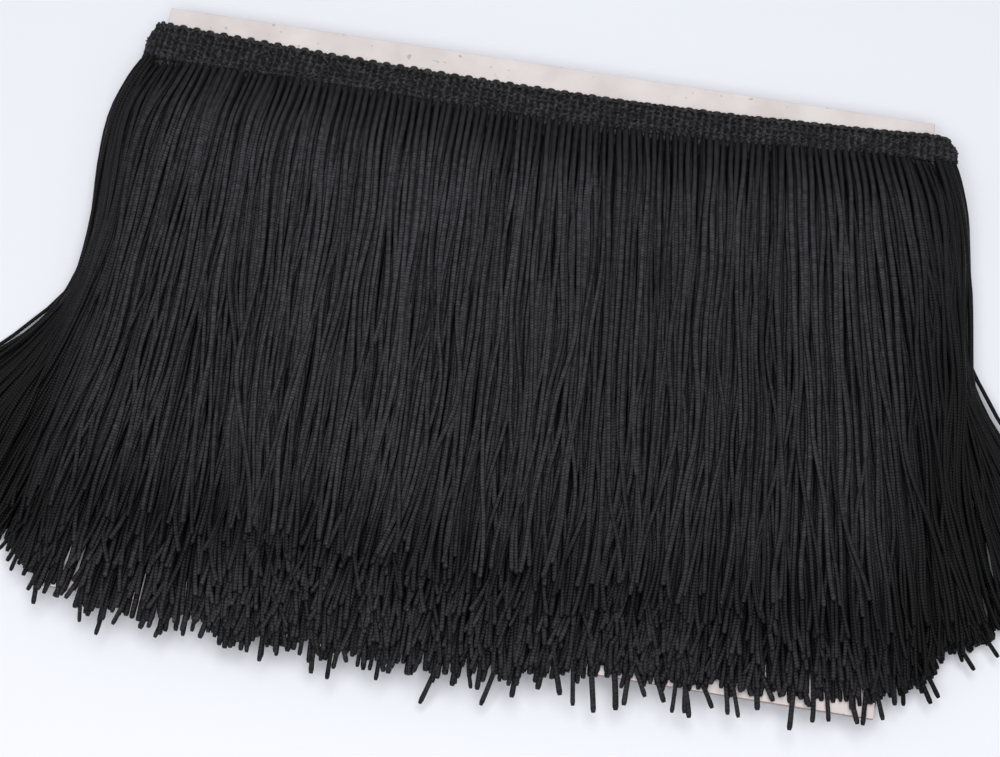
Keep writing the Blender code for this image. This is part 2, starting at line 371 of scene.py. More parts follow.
def locks_of(root_x, chance):
    """Groups the strands into locks: each strand's lock number, and its offset from the
    lock's middle and half-width."""
    low, high = root_x.min() - LOCK_MARGIN, root_x.max() + LOCK_MARGIN
    widths = chance.uniform(*LOCK_WIDTHS, MOST_LOCKS)
    edges = low + np.concatenate([[0.0], np.cumsum(widths)])
    edges = edges[: np.searchsorted(edges, high) + 1]
    number = np.clip(np.searchsorted(edges, root_x) - 1, 0, len(edges) - 2)
    middle = (edges[number] + edges[number + 1]) / 2
    half = (edges[number + 1] - edges[number]) / 2
    return number, root_x - middle, half


def strand_plan(root_x, turn, guide_x, fractions, look, chance, seed):
    """Plan paths of strands, each following the lean of the guide at its guide_x and
    wandering from it, less so at the silhouette. All of them start under the outer turn's
    band, so the lower turns' strands are longer, and they stop at the hem. Returns lengths
    along, x, y and lock crowns (a row for each strand), and which strands are rogues."""
    count = len(root_x)
    root_y = head("y_low", root_x) + ROOT_TUCK
    full = STRAND_L + drop(turn) + chance.normal(0.0, look["uneven"], count)
    early = chance.normal(0.0, EARLY, count)[:, None]
    wander = mix(1.0, CALM, smooth(*CALM_AT, np.abs(guide_x)))[:, None]
    number, off, half = locks_of(root_x, chance)
    own = chance.uniform(0.0, FIELD_SPAN, count)
    tip_lean = chance.normal(0.0, math.radians(look["tip_lean"]), count)
    rogue = chance.random(count) < look["rogues"]
    rogue_lean = np.radians(chance.uniform(*ROGUE_LEANS, count)) * chance.choice([-1, 1], count)
    rogue_from = chance.uniform(*ROGUE_FROM, count)

    def walk(lengths):
        s = fractions[None, :] * lengths[:, None]
        grow = 0.5 * smooth(*FIRST_OVER, s) + 0.5 * smooth(*REST_OVER, s)
        broad = field(seed, root_x[:, None] / BROAD_ACROSS, s / BROAD_ALONG + BROAD_START)
        close = field(seed + 1, root_x[:, None] / CLOSE_ACROSS, s / CLOSE_ALONG)
        lock = field(seed + 2, number[:, None] * LOCK_ACROSS, s / LOCK_ALONG)
        alone = field(seed + 3, own[:, None], s / ALONE_ALONG)
        shift = look["broad"] * broad + look["close"] * close + look["lock"] * lock
        shift = (shift + look["alone"] * alone) * grow * wander
        shift -= off[:, None] * look["clump"] * smooth(*CLUMP_OVER, s)
        step = np.diff(s, axis=1)
        mid = s[:, :-1] + step / 2
        lean = lean_of(guide_x, mid + early * wander)
        lean += np.arctan(np.diff(shift, axis=1) / np.maximum(step, TINY))
        ends = lengths[:, None]
        lean += tip_lean[:, None] * smooth(ends - TIP_LENGTH, ends, mid)
        turned = smooth(rogue_from[:, None], rogue_from[:, None] + ROGUE_BEND, mid)
        lean += (rogue * rogue_lean)[:, None] * turned * wander
        zero = np.zeros((count, 1))
        x = root_x[:, None] + np.hstack([zero, np.cumsum(step * np.sin(lean), axis=1)])
        y = root_y[:, None] - np.hstack([zero, np.cumsum(step * np.cos(lean), axis=1)])
        return s, x, y

    s, x, y = walk(full)
    hem = np.maximum(np.interp(x, HEM[:, 0], HEM[:, 1]), look["least_y"])
    hem = hem + chance.normal(0.0, HEM_UNEVEN, count)[:, None]
    past = y < hem
    last = len(fractions) - 1
    first = np.where(past.any(axis=1), past.argmax(axis=1), last)
    row, over = np.arange(count), y - hem
    before, after = over[row, first - 1], over[row, first]
    part = np.where(past.any(axis=1), before / np.maximum(before - after, TINY), 1.0)
    lengths = np.minimum(full, mix(s[row, first - 1], s[row, first], np.clip(part, 0.0, 1.0)))
    s, x, y = walk(lengths)
    crown = (1.0 - (off / half) ** 2)[:, None] * smooth(*CROWN_OVER, s)
    return s, x, y, crown, rogue


def strand_points(root_x, turn, side, fractions, look, chance, seed):
    """Lengths along and points of strands on the front (side 1) or the back (side -1).
    With a look that says so, the ones near the card's sides splay further out."""
    splay = 1.0 + look["splay"] * chance.random(len(root_x))
    beyond = np.maximum(np.abs(root_x) - SPLAY_FROM, 0.0)
    guide_x = root_x + np.sign(root_x) * beyond * (splay - 1.0)
    s, x, y, crown, rogue = strand_plan(root_x, turn, guide_x, fractions, look, chance, seed)
    z = strand_height(turn[:, None], side, x, y)
    count = len(root_x)
    free = smooth(*FREE_OVER, s)
    jitter = chance.uniform(-1.0, 1.0, count)[:, None] * look["jitter"]
    own = chance.uniform(0.0, FIELD_SPAN, count)
    ripple = field(seed + 5, own[:, None], s / RIPPLE_ALONG)
    z = z + side * free * (jitter + look["ripple"] * ripple + look["crown"] * crown)
    z += side * rogue[:, None] * ROGUE_LIFT * smooth(*ROGUE_LIFT_OVER, s)
    z = np.maximum(z, LEAST_Z)
    return s, np.stack([x, y, z], axis=2)


# ------------ the strands' shape

# spread of the strands' widths, thicknesses and lightness, as shares
WIDTHS = (0.82, 1.1)
THICKNESSES = (0.9, 1.1)
TONES = (0.62, 1.0)

# how strands roll about their path: a wave of this length, and a spread from one to the next
ROLL_ALONG = 26.0
ROLL_WAVE = 2.0
ROLL_SPREAD = 0.6

# wider at the root, swollen and then blunt at the cut end, thinner further down
ROOT_OVER = (0.0, 14.0)
ROOT_W = 1.12
CUT_LENGTH = 3.0
CUT_WIDER = 0.06
CUT_THICKER = 0.12
BLUNT = 0.7
THIN_OVER = (35.0, 100.0)
THIN_W = 0.9

# thinner, and darker by painted shade, at the pile's sides: over these x, or by this power of the
# side's part
ASIDE_X = (106.0, 134.0)
ASIDE_POWER = 1.5
ASIDE_W = 0.82
ASIDE_SHADE = 0.05

# painted shade darker towards the tips, over these distances before them; painted light from
# the upper left, lighter to the left and darker to the right and down the pile
ENDS_SHADE_FROM = 38.0
ENDS_SHADE_BY = 5.0
ENDS_SHADE = 0.75
ACROSS_X = (-80.0, 110.0)
ACROSS_PAINTED_LIGHT = (1.05, 0.84)
DOWN_Y = (150.0, 60.0)
DOWN_PAINTED_SHADE = (1.0, 0.88)


def tube_uv(shape, u, v):
    """UV coordinates of the corners of tubes' walls and of their two caps, from u and v on
    the rings: shape is tubes, rings and sides, with the first side again at the end."""
    uv = np.stack([np.broadcast_to(u, shape), np.broadcast_to(v, shape)], axis=-1)
    low, high = uv[:, :-1], uv[:, 1:]
    corners = (low[:, :, :-1], low[:, :, 1:], high[:, :, 1:], high[:, :, :-1])
    return [np.stack(corners, axis=-2), uv[:, 0, :-1], uv[:, -1, :-1]]


def tube_parts(s, points, half_w, half_t, roll, sides, tone_and_shade, own):
    """Closed oval tubes along rows of points. half_w and half_t are the half sizes of the
    section at each point, roll its turn about the path, the lightness at each point (random
    tone with painted shade and light), and own a number for each tube. Returns ring points,
    faces, UVs and which faces are rounded."""
    count, along, _ = points.shape
    tangent = np.gradient(points, axis=1)
    tangent /= np.linalg.norm(tangent, axis=2, keepdims=True)
    flat = np.cross(tangent, UP)
    flat /= np.maximum(np.linalg.norm(flat, axis=2, keepdims=True), TINY)
    rise = np.cross(flat, tangent)
    turn = np.arange(sides) * 2 * math.pi / sides
    a = half_w[:, :, None] * np.cos(turn)
    b = half_t[:, :, None] * np.sin(turn)
    c, d = np.cos(roll)[:, :, None], np.sin(roll)[:, :, None]
    across, high = a * c - b * d, a * d + b * c
    ring = points[:, :, None, :] + across[..., None] * flat[:, :, None, :]
    ring += high[..., None] * rise[:, :, None, :]

    index = np.arange(count * along * sides).reshape(count, along, sides)
    after = np.roll(index, -1, axis=2)
    quads = np.stack([index[:, :-1], after[:, :-1], after[:, 1:], index[:, 1:]], axis=-1)
    faces = [quads.reshape(-1, 4), index[:, 0, ::-1], index[:, -1, :]]

    shape = (count, along, sides + 1)
    around = np.arange(sides + 1) / sides
    uvs = {
        "strand": tube_uv(shape, around, s[:, :, None]),
        # the lot map: lightness at each point, random tone with painted shade and light, and each
        # tube's own number
        "lot": tube_uv(shape, tone_and_shade[:, :, None], own[:, None, None]),
    }
    rounded = np.ones(len(faces[0]) + 2 * count, bool)
    rounded[len(faces[0]) :] = False
    return ring.reshape(-1, 3), faces, uvs, rounded


def strands(name, s, points, shade, sides, chance, material, roll_limit=0.5):
    """Flat oval strands along rows of points, with blunt ends, as one mesh object. shade is a
    lightness at each point, around 0 to 1, that carries the layers' painted shade; random tone,
    painted shade at the sides and tips and painted light from the upper left go on it."""
    count = len(points)
    own = chance.uniform(0.0, FIELD_SPAN, count)
    roll = field(71, own[:, None], s / ROLL_ALONG) * roll_limit * ROLL_WAVE
    roll += chance.normal(0.0, roll_limit * ROLL_SPREAD, count)[:, None]
    width = STRAND_W * chance.uniform(*WIDTHS, count)[:, None]
    thick = STRAND_T * chance.uniform(*THICKNESSES, count)[:, None]
    length = s[:, -1:]
    end = smooth(length - CUT_LENGTH, length, s)
    x, y = points[..., 0], points[..., 1]
    aside = np.maximum(smooth(*ASIDE_X, np.abs(x)), side_part(x, y) ** ASIDE_POWER)
    half_w = 0.5 * width * mix(ROOT_W, 1.0, smooth(*ROOT_OVER, s)) * (1.0 + CUT_WIDER * end)
    half_w *= mix(1.0, ASIDE_W, aside) * mix(1.0, THIN_W, smooth(*THIN_OVER, s))
    half_t = 0.5 * thick * (1.0 + CUT_THICKER * end)
    half_w[:, -1] *= BLUNT
    half_t[:, -1] *= BLUNT
    # painted shade at the pile's sides
    tone_and_shade = shade * chance.uniform(*TONES, count)[:, None] * mix(1.0, ASIDE_SHADE, aside)
    # painted shade towards the tips
    tone_and_shade *= mix(1.0, ENDS_SHADE, smooth(length - ENDS_SHADE_FROM, length - ENDS_SHADE_BY, s))
    # painted light from the upper left: lighter to the left, darker to the right and down the pile
    tone_and_shade *= mix(*ACROSS_PAINTED_LIGHT, smooth(*ACROSS_X, x)) * mix(*DOWN_PAINTED_SHADE, smooth(*DOWN_Y, y))
    own = chance.random(count)
    ring, faces, uvs, rounded = tube_parts(s, points, half_w, half_t, roll, sides, tone_and_shade, own)
    ring[:, 2] = np.maximum(ring[:, 2], LEAST_SURFACE_Z)
    made = new_piece(name, ring, faces, uvs, material, rounded)
    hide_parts("fringe")
    return made


# How strands lie: uneven is the spread of their lengths, tip_lean of their tips' leans (in
# degrees) and rogues the share of rogues; broad, close, lock and alone are the sizes of the
# waves and clump how far locks draw together; jitter, ripple and crown are the rise of a
# strand, of its waves and of a lock's middle; least_y is as low as they reach, and splay is
# how far those at the sides lean out.
OUTER_LOOK = dict(
    uneven=2.0, tip_lean=5.5, rogues=0.2, broad=1.4, close=2.4, lock=1.9, alone=1.9,
    clump=0.22, jitter=0.55, ripple=0.45, crown=0.5, least_y=-40.0, splay=0.0,
)
INNER_LOOK = dict(
    uneven=2.4, tip_lean=11.0, rogues=0.06, broad=1.4, close=1.4, lock=0.3, alone=1.3,
    clump=0.0, jitter=0.5, ripple=0.4, crown=0.1, least_y=-40.0, splay=0.5,
)
UNDER_LOOK = dict(
    INNER_LOOK, broad=1.0, close=0.3, lock=0.0, alone=0.15, rogues=0.0, splay=0.0,
    tip_lean=2.0,
)
BACK_LOOK = dict(INNER_LOOK, least_y=6.0)
FOLD_LOOK = dict(OUTER_LOOK, close=1.8, alone=1.4, rogues=0.05)
STRAY_LOOK = dict(INNER_LOOK, uneven=0.0, tip_lean=0.0, rogues=0.0, splay=0.0)

# layers: name, side (1 front, -1 back), turns, steps along a strand, sides round it, look,
# seed and limit of its roll
LAYERS = (
    ("strands_front_outer", 1, range(OUTER, TURNS), 44, 8, OUTER_LOOK, 100, 0.5),
    ("strands_front_second", 1, range(OUTER - 1, OUTER), 32, 6, OUTER_LOOK, 900, 0.5),
    ("strands_front_low", 1, range(OUTER // 2), 18, 6, INNER_LOOK, 300, 0.5),
    ("strands_front_high", 1, range(OUTER // 2, OUTER - 1), 18, 6, INNER_LOOK, 300, 0.5),
    ("strands_back_low", -1, range(TURNS // 2), 11, 5, BACK_LOOK, 500, 0.15),
    ("strands_back_high", -1, range(TURNS // 2, TURNS), 11, 5, BACK_LOOK, 500, 0.15),
)

# rows of strands on the first turn's front, which lie calmly and hide the card
LOWEST_ROWS = 3
ROOT_UNEVEN = 0.16

# how much closer together steps are near a strand's ends, and one more before its cut end
ENDS_CLOSER = 0.55
CUT_AT = 0.9955

# painted shade by side (1 front, -1 back): none on the front's outer turn, deep on all back
# strands under the card; on the other turns where the outer turn covers them and darker past its
# ends (with a change over these distances before them), and on their tips by turn: darker under
# the ends above them and at the lowest, lighter between
OUTER_SHADE = {1: 1.0, -1: 0.12}
COVERED_SHADE = {1: 0.85, -1: 0.12}
THATCH_SHADE = {1: 0.26, -1: 0.12}
THATCH_FROM = 22.0
THATCH_BY = 2.0
TIP_TURNS = (0, 3, 8, 10)
TIP_SHADES = {1: (0.5, 1.02, 1.02, 0.4), -1: (0.2, 0.2, 0.2, 0.2)}
TIP_FROM = 10.0
TIP_BY = 3.0


def spread(count):
    """Fractions from 0 to 1 along a strand, closer together near both ends."""
    even = np.linspace(0.0, 1.0, count + 1)
    eased = 0.5 - 0.5 * np.cos(math.pi * even)
    return np.insert(mix(even, eased, ENDS_CLOSER), -1, CUT_AT)


def root_places(chance, rows):
    """Root x of the strands of one turn, on the card's flat."""
    count = rows * int(round(2 * FOLD_X / STRAND_PITCH))
    even = np.linspace(-FOLD_X, FOLD_X, count)
    return even + chance.normal(0.0, ROOT_UNEVEN, count)


def layer_strands(name, side, turns, steps, sides, look, seed, roll, chance, material):
    """The strands of several turns on the front or the back, as a row of LAYERS says. On
    the back a turn climbs evenly to the next one."""
    parts = []
    for k in turns:
        lowest = k == 0 and side > 0
        x = root_places(chance, LOWEST_ROWS if lowest else 1)
        turn = np.full(len(x), float(k))
        if side < 0:
            turn = np.minimum(k + (FOLD_X - x) / (2 * FOLD_X), OUTER)
        own_look = UNDER_LOOK if lowest else look
        path = strand_points(x, turn, side, spread(steps), own_look, chance, seed + 10 * k)
        parts.append((*path, turn))
    s = np.concatenate([part[0] for part in parts])
    points = np.concatenate([part[1] for part in parts])
    turn = np.concatenate([part[2] for part in parts])[:, None]
    # painted shade on the lower turns where the outer one covers them, past its ends and at their
    # tips
    length = s[:, -1:]
    bare_from = length - drop(turn)
    at_thatch = smooth(bare_from - THATCH_FROM, bare_from - THATCH_BY, s)
    shade = mix(COVERED_SHADE[side], THATCH_SHADE[side], at_thatch)
    at_tip = smooth(length - TIP_FROM, length - TIP_BY, s)
    shade = mix(shade, np.interp(turn, TIP_TURNS, TIP_SHADES[side]), at_tip)
    shade = np.where(turn > OUTER - 0.5, OUTER_SHADE[side], shade)
    return strands(name, s, points, shade, sides, chance, material, roll)


def build_fringe(material):
    chance = np.random.default_rng(5)
    made = [layer_strands(*layer, chance, material) for layer in LAYERS]
    return [*made, fold_strands(material), stray_strands(material)]


# single ends that stick out under the hem: x, y and lean of the tip
STRAYS = (
    (-132, 9, -30), (-129, 6, -20), (-127, 3, -12), (-118, -6, 8), (-87, -8, -22),
    (-82.5, -9.5, -26), (-75, -7, -6), (-61, -9, 5), (-52, -10, -3), (-37.5, -12, -6),
    (-28, -8, 24), (-16, -9, -8), (-6, -15, -20), (3, -9, 16), (11, -13, -14),
    (26, -7, -6), (32.5, -7.5, 26), (36.5, -9.5, 14), (42.5, -10.5, 20), (48.5, -9, 16),
    (50.5, -7.5, 2), (56, -4.5, 34), (61.5, -5, 32), (64, -7.5, 2), (67.5, -7, 12),
    (69, -8, 22), (75, -4.5, 36), (79.5, -5.5, 14), (82.5, -6, 22), (87.5, -3, 10),
    (91.5, 0, 36), (97, -7, 2), (103, -4, 2), (107.5, -3, 10), (115.5, -2.5, 38),
    (117, -2.5, 4), (122.5, 0, 26), (125.5, 5, 8), (130.5, 12, 10), (136, 8, 30),
    (138, 10, 34), (144, 22, 10), (147.5, 20, 34), (154, 25, 30),
)
STRAY_TURN = 1.0
STRAY_TONE = 0.8
ROOT_ASIDE = 8.0

# the tip's lean comes in over TIP_BEND, softly, the strand is drawn to the tip's place by
# powers of the way along it, and past the card's lower edge it sinks by the square
TIP_BEND = 16.0
BEND_SOFT = 4.0
ASIDE_BY = 1.4
DOWN_BY = 2
TIP_SINK = 0.03


def stray_strands(material):
    """Single strands of a low turn that reach further than their neighbours."""
    chance = np.random.default_rng(37)
    tip_x, tip_y, tip_lean = np.array(STRAYS).T
    root_x = np.clip(tip_x - ROOT_ASIDE, -FOLD_X, FOLD_X)
    turn = np.full(len(STRAYS), STRAY_TURN)
    s, points = strand_points(root_x, turn, 1, spread(30), STRAY_LOOK, chance, 650)
    x, y, z = points[..., 0], points[..., 1], points[..., 2]
    over = z - strand_height(turn[:, None], 1, x, y)
    part = s / s[:, -1:]
    near = np.maximum(s - s[:, -1:] + TIP_BEND, 0.0)
    bend = np.tan(np.radians(tip_lean))[:, None] * near**2 / (near + BEND_SOFT)
    x = x + bend + (tip_x - x[:, -1] - bend[:, -1])[:, None] * part**ASIDE_BY
    y = y + (tip_y - y[:, -1])[:, None] * part**DOWN_BY
    z = strand_height(turn[:, None], 1, x, y) + over - TIP_SINK * np.minimum(y, 0.0) ** 2
    points = np.stack([x, y, np.maximum(z, LEAST_Z)], axis=2)
    shade = np.full(s.shape, STRAY_TONE)
    return strands("strands_stray", s, points, shade, 8, chance, material, 0.3)


# strands round the folds: each turn's bend is a half oval a little larger than the last,
# this far under the band's face, with strands closer together than on the flat
FIRST_BEND = 2.0
BEND_SINK = 1.6
BEND_CROWD = 1.3
LEAST_IN_BEND = 4

# how they share out between the fold's guide and the silhouette's, the half angle of the
# outer turn's bend where all follow the silhouette, and their heights as shares of the pile's
FAN_SHARE = 0.75
EDGE_ANGLE = 0.6
FOLD_SHARES = (0.08, 0.9)
FOLD_DROP_OVER = (0.0, 34.0)
FOLD_UNEVEN = 0.4
FOLD_UNEVEN_OVER = (0.0, 30.0)

# where the loosest strand of each side leaves the others, by how much and how fast
LOOSE_FROM = {-1: 76.0, 1: 56.0}
LOOSE_ASIDE = 3.0
LOOSE_LENGTH = 20.0


def bend_size(full, turn):
    """Size of a turn's bend round the card's side edge, where the outer turn's is full."""
    return full * (turn + FIRST_BEND) / (OUTER + FIRST_BEND)


def fold_strands(material):
    """Strands that leave the heading where it goes round the card's side edges."""
    chance = np.random.default_rng(17)
    rows = []
    for side, reach in FOLD_REACH.items():
        for k in range(TURNS):
            out = bend_size(reach, k)
            high = bend_size(head("z_low", side * FOLD_X) - BEND_SINK - CARD_MIDDLE, k)
            arc = math.pi * math.sqrt((out * out + high * high) / 2)
            count = max(LEAST_IN_BEND, int(BEND_CROWD * arc / STRAND_PITCH))
            order = chance.permutation(count)
            for i in range(count):
                turn = math.pi * ((i + 0.5) / count - 0.5)
                fan = (order[i] + chance.random()) / count
                rows.append((side, k, turn, out * math.cos(turn), high * math.sin(turn), fan))
    side, k, turn, out, high, fan = np.array(rows).T
    root_x = side * (CARD_W / 2 + out)
    widest = np.where(side < 0, GUIDE_ROOTS[0], GUIDE_ROOTS[-1])
    guide_x = mix(side * FOLD_X, widest, fan**FAN_SHARE)
    guide_x = np.where((k == OUTER) & (np.abs(turn) < EDGE_ANGLE), widest, guide_x)
    s, x, y = strand_plan(root_x, k, guide_x, spread(30), FOLD_LOOK, chance, 900)[:3]
    for at_side, leaves_at in LOOSE_FROM.items():
        elsewhere = (side != at_side) | (k < OUTER)
        loose = np.argmin(np.abs(turn) + 2 * math.pi * elsewhere)
        leaving = smooth(leaves_at, leaves_at + LOOSE_LENGTH, s[loose])
        x[loose] += at_side * LOOSE_ASIDE * leaving
    share = mix(*FOLD_SHARES, 0.5 + 0.5 * np.sin(turn))[:, None]
    low = np.maximum(pile_top(x, y) * share, LEAST_Z)
    z = mix(CARD_MIDDLE + high[:, None], low, smooth(*FOLD_DROP_OVER, s))
    uneven = chance.uniform(-FOLD_UNEVEN, FOLD_UNEVEN, len(k))[:, None]
    z += uneven * smooth(*FOLD_UNEVEN_OVER, s)
    points = np.stack([x, y, np.maximum(z, LEAST_Z)], axis=2)
    return strands("strands_folds", s, points, np.ones(s.shape), 7, chance, material)


# ------------ the heading's route

# stitches in a fold, and the lengths of the outer turn's left and right folds
FOLD_STITCHES = 10.0
LEFT_ARC = 17.0
RIGHT_ARC = 21.0

# where the outer turn stops behind the card, and how finely folds are drawn
TRIM_END_X = -96.0
SHOWN_BENDS = 40
HIDDEN_BENDS = 8

# past the outer turn's lower edge the band lies this much lower, and its upper part closes
# in round the folds by a share of their reach
BAND_SINK = 1.6
SINK_BY = 1.2
FOLD_CLOSE = 0.4
FOLD_CLOSE_FROM = 0.55


def band_route(step_front, step_back):
    """Stations along the wound band, from the first turn's left end: x, the angle round
    the card (a quarter turn up in front, down behind), the turn (a float), and the fold
    that it is in (1 right, -1 left, 0 none)."""
    stations = []
    for k in range(TURNS):
        outer = k == OUTER
        step = step_front if outer else step_back
        count = int(2 * FOLD_X / step)
        for x in np.linspace(-FOLD_X, FOLD_X, count, endpoint=False):
            stations.append((x, 0.5 * math.pi, float(k), 0))
        bends = SHOWN_BENDS if outer else HIDDEN_BENDS
        for t in np.linspace(0.0, 1.0, bends, endpoint=False):
            stations.append((FOLD_X, math.pi * (0.5 - t), float(k), 1))
        stop = TRIM_END_X if outer else -FOLD_X
        count = int((FOLD_X - stop) / step_back)
        for x in np.linspace(FOLD_X, stop, count, endpoint=False):
            turn = min(k + (FOLD_X - x) / (2 * FOLD_X), OUTER)
            stations.append((x, -0.5 * math.pi, turn, 0))
        if not outer:
            bends = SHOWN_BENDS if k == OUTER - 1 else HIDDEN_BENDS
            for t in np.linspace(0.0, 1.0, bends, endpoint=False):
                stations.append((-FOLD_X, math.pi * (-0.5 + t), float(k + 1), -1))
    return np.array(stations)


def band_surface(stations, w):
    """Points of the band's middle sheet, a row for each station; w is the height over the
    band's lower edge, one row for all the stations or a row for each."""
    x, angle, turn, fold = (column[:, None] for column in stations.T)
    tall = (head("y_top", x) - head("y_low", x)) / HEAD_W
    y = head("y_low", x) - drop(turn) + w * tall
    down = y - head("y_low", x)
    sunk = BAND_SINK * smooth(0.0, -SINK_BY, down)
    lift = (layers_below(turn, down) + 0.5) * layer_unit(x, down) - sunk
    inside = (CARD_TOP - CARD_UNDER) / 2 + GAP
    reach = np.where(fold < 0, FOLD_REACH[-1], FOLD_REACH[1]) * (turn + 1.0) / TURNS
    closed = FOLD_CLOSE * smooth(FOLD_CLOSE_FROM * HEAD_W, HEAD_W, w)
    out = reach * (1.0 - closed) - sunk
    px = x + fold * (CARD_W / 2 - FOLD_X + out) * np.cos(angle)
    pz = CARD_MIDDLE + (inside + lift) * np.sin(angle)
    return np.stack([px, y + 0 * px, pz], axis=2)


def band_normal(stations, w):
    """Outward directions of the band at the same places."""
    step = 0.3
    across = band_surface(stations, w + step) - band_surface(stations, w - step)
    along = np.gradient(band_surface(stations, w), axis=0)
    normal = np.cross(along, across)
    return normal / np.maximum(np.linalg.norm(normal, axis=2, keepdims=True), TINY)


def stitches_of(stations):
    """Stitches from the left end of the outer turn's front, one for each strand."""
    x, angle, _, fold = stations.T
    flat = 2 * FOLD_X / STRAND_PITCH
    bend = FOLD_STITCHES * (0.5 - np.abs(angle) / math.pi * np.sign(angle))
    front = (x + FOLD_X) / STRAND_PITCH
    back = flat + FOLD_STITCHES + (FOLD_X - x) / STRAND_PITCH
    aside = np.where(fold > 0, flat + bend, -bend)
    return np.where(fold == 0, np.where(angle > 0, front, back), aside)


def band_length(stations):
    """Length along the band's middle at each station."""
    line = band_surface(stations, np.array([[HEAD_W / 2]]))[:, 0]
    return np.concatenate([[0.0], np.cumsum(np.linalg.norm(np.diff(line, axis=0), axis=1))])


def shown_stations(step):
    """Stations of the outer turn: the left fold, the front and the right fold."""
    left, right = np.arange(0.0, 1.0, step / LEFT_ARC), np.arange(0.0, 1.0, step / RIGHT_ARC)
    rows = [(-FOLD_X, math.pi * (t - 0.5), OUTER, -1) for t in left]
    rows += [(x, 0.5 * math.pi, OUTER, 0) for x in np.arange(-FOLD_X, FOLD_X, step)]
    rows += [(FOLD_X, math.pi * (0.5 - t), OUTER, 1) for t in right]
    return np.array(rows)


# ------------ the heading's pieces

# the band: steps along it where it shows and where it doesn't, points across it, its
# thickness, the share of that at its edges, and the rise of its ribs
SHOWN_STEP = 0.36
HIDDEN_STEP = 5.0
BAND_COLUMNS = 13
BAND_T = 0.8
EDGE_T = 0.35
EDGE_POWER = 0.35
RIB_RISE = 0.3

# chain stitches: rows across the band, yarn thickness and flatness, points for a stitch;
# how far a row's two yarns lie apart, part, rise and stand off; and how uneven they are
CHAIN_ROWS = 6
CHAIN_YARN = 0.56
YARN_FLAT = 0.9
STITCH_POINTS = 7
CHAIN_APART = 0.3
CHAIN_PARTING = 0.14
CHAIN_RISE = 0.36
CHAIN_LIFT = 0.3
CHAIN_UNEVEN = 0.18
CHAIN_DRIFT = 0.25
CHAIN_SWELL = 0.22

# the looped top edge: yarn thickness, the loops' size by x and how uneven it is, and each
# yarn's w, rise in w, height over the band and rise in height
PICOT_YARN = 0.8
PICOT_X = (-20.0, 30.0)
PICOT_SIZES = (1.0, 0.45)
PICOT_UNEVEN = 0.3
PICOT_YARNS = ((HEAD_W - 0.5, 0.8, 0.05, 0.2), (HEAD_W - 1.1, 0.6, 0.25, 0.35))


def build_band(material):
    stations = band_route(SHOWN_STEP, HIDDEN_STEP)
    across = np.linspace(0.0, HEAD_W, BAND_COLUMNS)
    middle = band_surface(stations, across[None, :])
    normal = band_normal(stations, across[None, :])
    along = band_length(stations)
    fine = (stations[:, 2] > OUTER - 0.02).astype(float)[:, None]
    stitches = stitches_of(stations)
    ribs = np.cos(2 * math.pi * stitches)[:, None]
    relief = fine * RIB_RISE * ribs
    edge = np.sin(math.pi * across / HEAD_W) ** EDGE_POWER
    half = 0.5 * BAND_T * mix(EDGE_T, 1.0, edge)[None, :]
    outer = middle + normal * (half + relief)[..., None]
    inner = middle - normal * half[..., None]

    rows, columns = middle.shape[:2]
    index = np.arange(2 * rows * columns).reshape(2, rows, columns)
    top, low = index

    def quads(grid, flip):
        a, b, c, d = grid[:-1, :-1], grid[1:, :-1], grid[1:, 1:], grid[:-1, 1:]
        stack = np.stack([a, b, c, d] if not flip else [a, d, c, b], axis=-1)
        return stack.reshape(-1, 4)

    def wall(a, b):
        return np.stack([a[:-1], b[:-1], b[1:], a[1:]], axis=-1)

    faces = np.concatenate(
        [
            quads(top, False),
            quads(low, True),
            wall(top[:, 0], low[:, 0]),
            wall(low[:, -1], top[:, -1]),
            wall(low[0], top[0]),
            wall(top[-1], low[-1]),
        ]
    )
    points = np.concatenate([outer.reshape(-1, 3), inner.reshape(-1, 3)])
    u = np.broadcast_to(stitches[:, None], (rows, columns)).ravel()
    v = np.broadcast_to(across[None, :], (rows, columns)).ravel()
    uv = np.stack([np.tile(u, 2), np.tile(v, 2)], -1)
    made = new_piece("heading_band", points, [faces], {"band": [uv[faces]]}, material)
    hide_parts("heading")
    return made, float(along[-1])


def surface_yarns(name, w_rows, heights, thickness, stations, chance, material):
    """Yarns that run along the band's outer face: a row of w and of height for each yarn."""
    along = band_length(stations)
    paths = []
    for w, height in zip(w_rows, heights):
        point = band_surface(stations, w[:, None])[:, 0]
        normal = band_normal(stations, w[:, None])[:, 0]
        paths.append(point + normal * height[:, None])
    points = np.array(paths)
    s = np.broadcast_to(along, points.shape[:2])
    half = np.full(points.shape[:2], thickness / 2)
    own = chance.random(len(points))
    ring, faces, uvs, rounded = tube_parts(
        s, points, half, half * YARN_FLAT, 0 * half, 6, np.ones(s.shape), own
    )
    made = new_piece(name, ring, faces, uvs, material, rounded)
    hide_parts("heading")
    return made


def build_chains(material):
    """Chain stitches: rows of two yarns that pass over each rib and dip between the ribs."""
    chance = np.random.default_rng(23)
    stations = shown_stations(STRAND_PITCH / STITCH_POINTS)
    stitches = stitches_of(stations)
    w_rows, heights = [], []
    for row in range(CHAIN_ROWS):
        base = HEAD_W * (row + 0.5) / CHAIN_ROWS
        uneven = CHAIN_UNEVEN * field(31 + row, stitches / 3.0, 0.5)
        wave = np.cos(2 * math.pi * (stitches + uneven))
        drift = CHAIN_DRIFT * field(41 + row, stitches / 2.0, 0.5)
        for twin in (-1.0, 1.0):
            swell = CHAIN_SWELL * field(61 + row, stitches, 3.0 * twin)
            w_rows.append(base + drift + twin * (CHAIN_APART + CHAIN_PARTING * wave))
            heights.append(CHAIN_LIFT + CHAIN_RISE * wave + swell)
    return surface_yarns("heading_chains", w_rows, heights, CHAIN_YARN, stations, chance, material)


